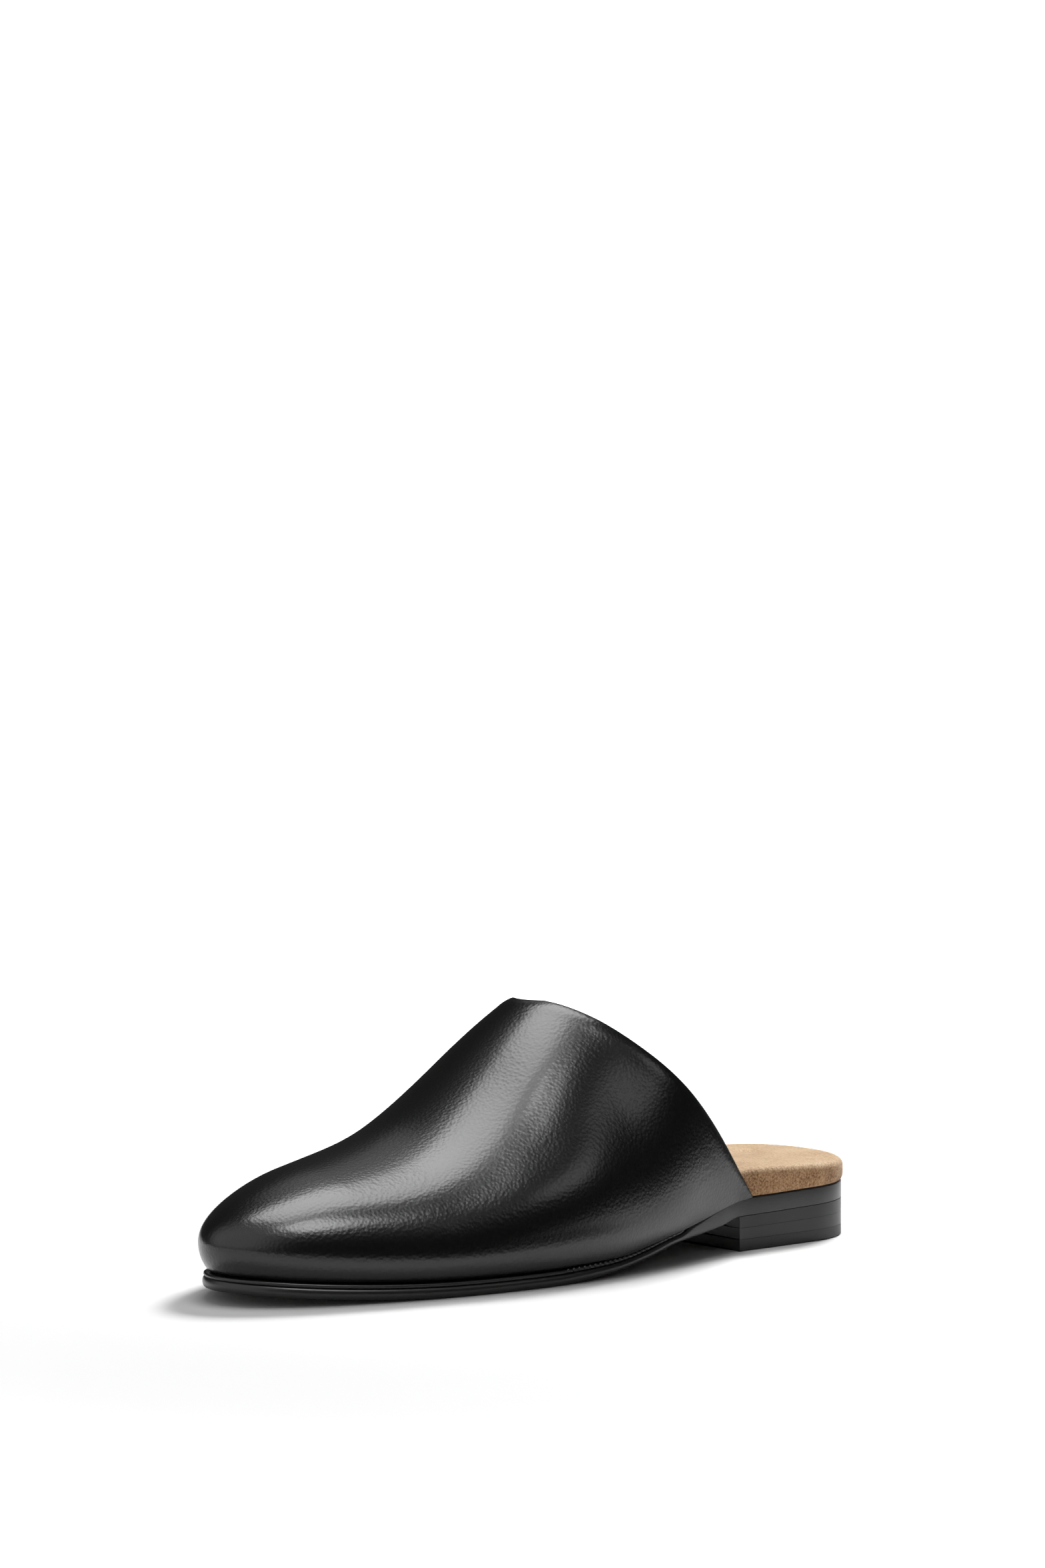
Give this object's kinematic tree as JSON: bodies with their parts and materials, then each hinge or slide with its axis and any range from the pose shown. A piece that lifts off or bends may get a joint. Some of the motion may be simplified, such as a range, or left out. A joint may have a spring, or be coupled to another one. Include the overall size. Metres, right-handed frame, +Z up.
{
  "type": "mule",
  "caption": "Left leather mule with a whole-cut upper open at the back, padded suede footbed, wheeled welt, leather sole and low stacked heel.",
  "frame": {"origin": "on the floor, under the middle of the shoe's bounding box", "axes": "+Y from toe to heel, +X to the wearer's left (the outer side of this left shoe), +Z up from the floor"},
  "size_m": [0.1028, 0.29, 0.0975],
  "materials": {
    "calf": "semi-gloss black box calf with a fine grain",
    "suede": "matt tan suede with a short nap",
    "edge": "burnished black leather edge, satin",
    "stack": "black dyed stacked leather, satin",
    "top_rubber": "matt black rubber"
  },
  "bodies": {
    "root": {"upper": "calf", "insole": "suede", "welt": "edge", "outsole": "edge", "top_piece": "top_rubber", "heel_lift_1": "stack", "heel_lift_2": "stack"}
  },
  "joints": []
}
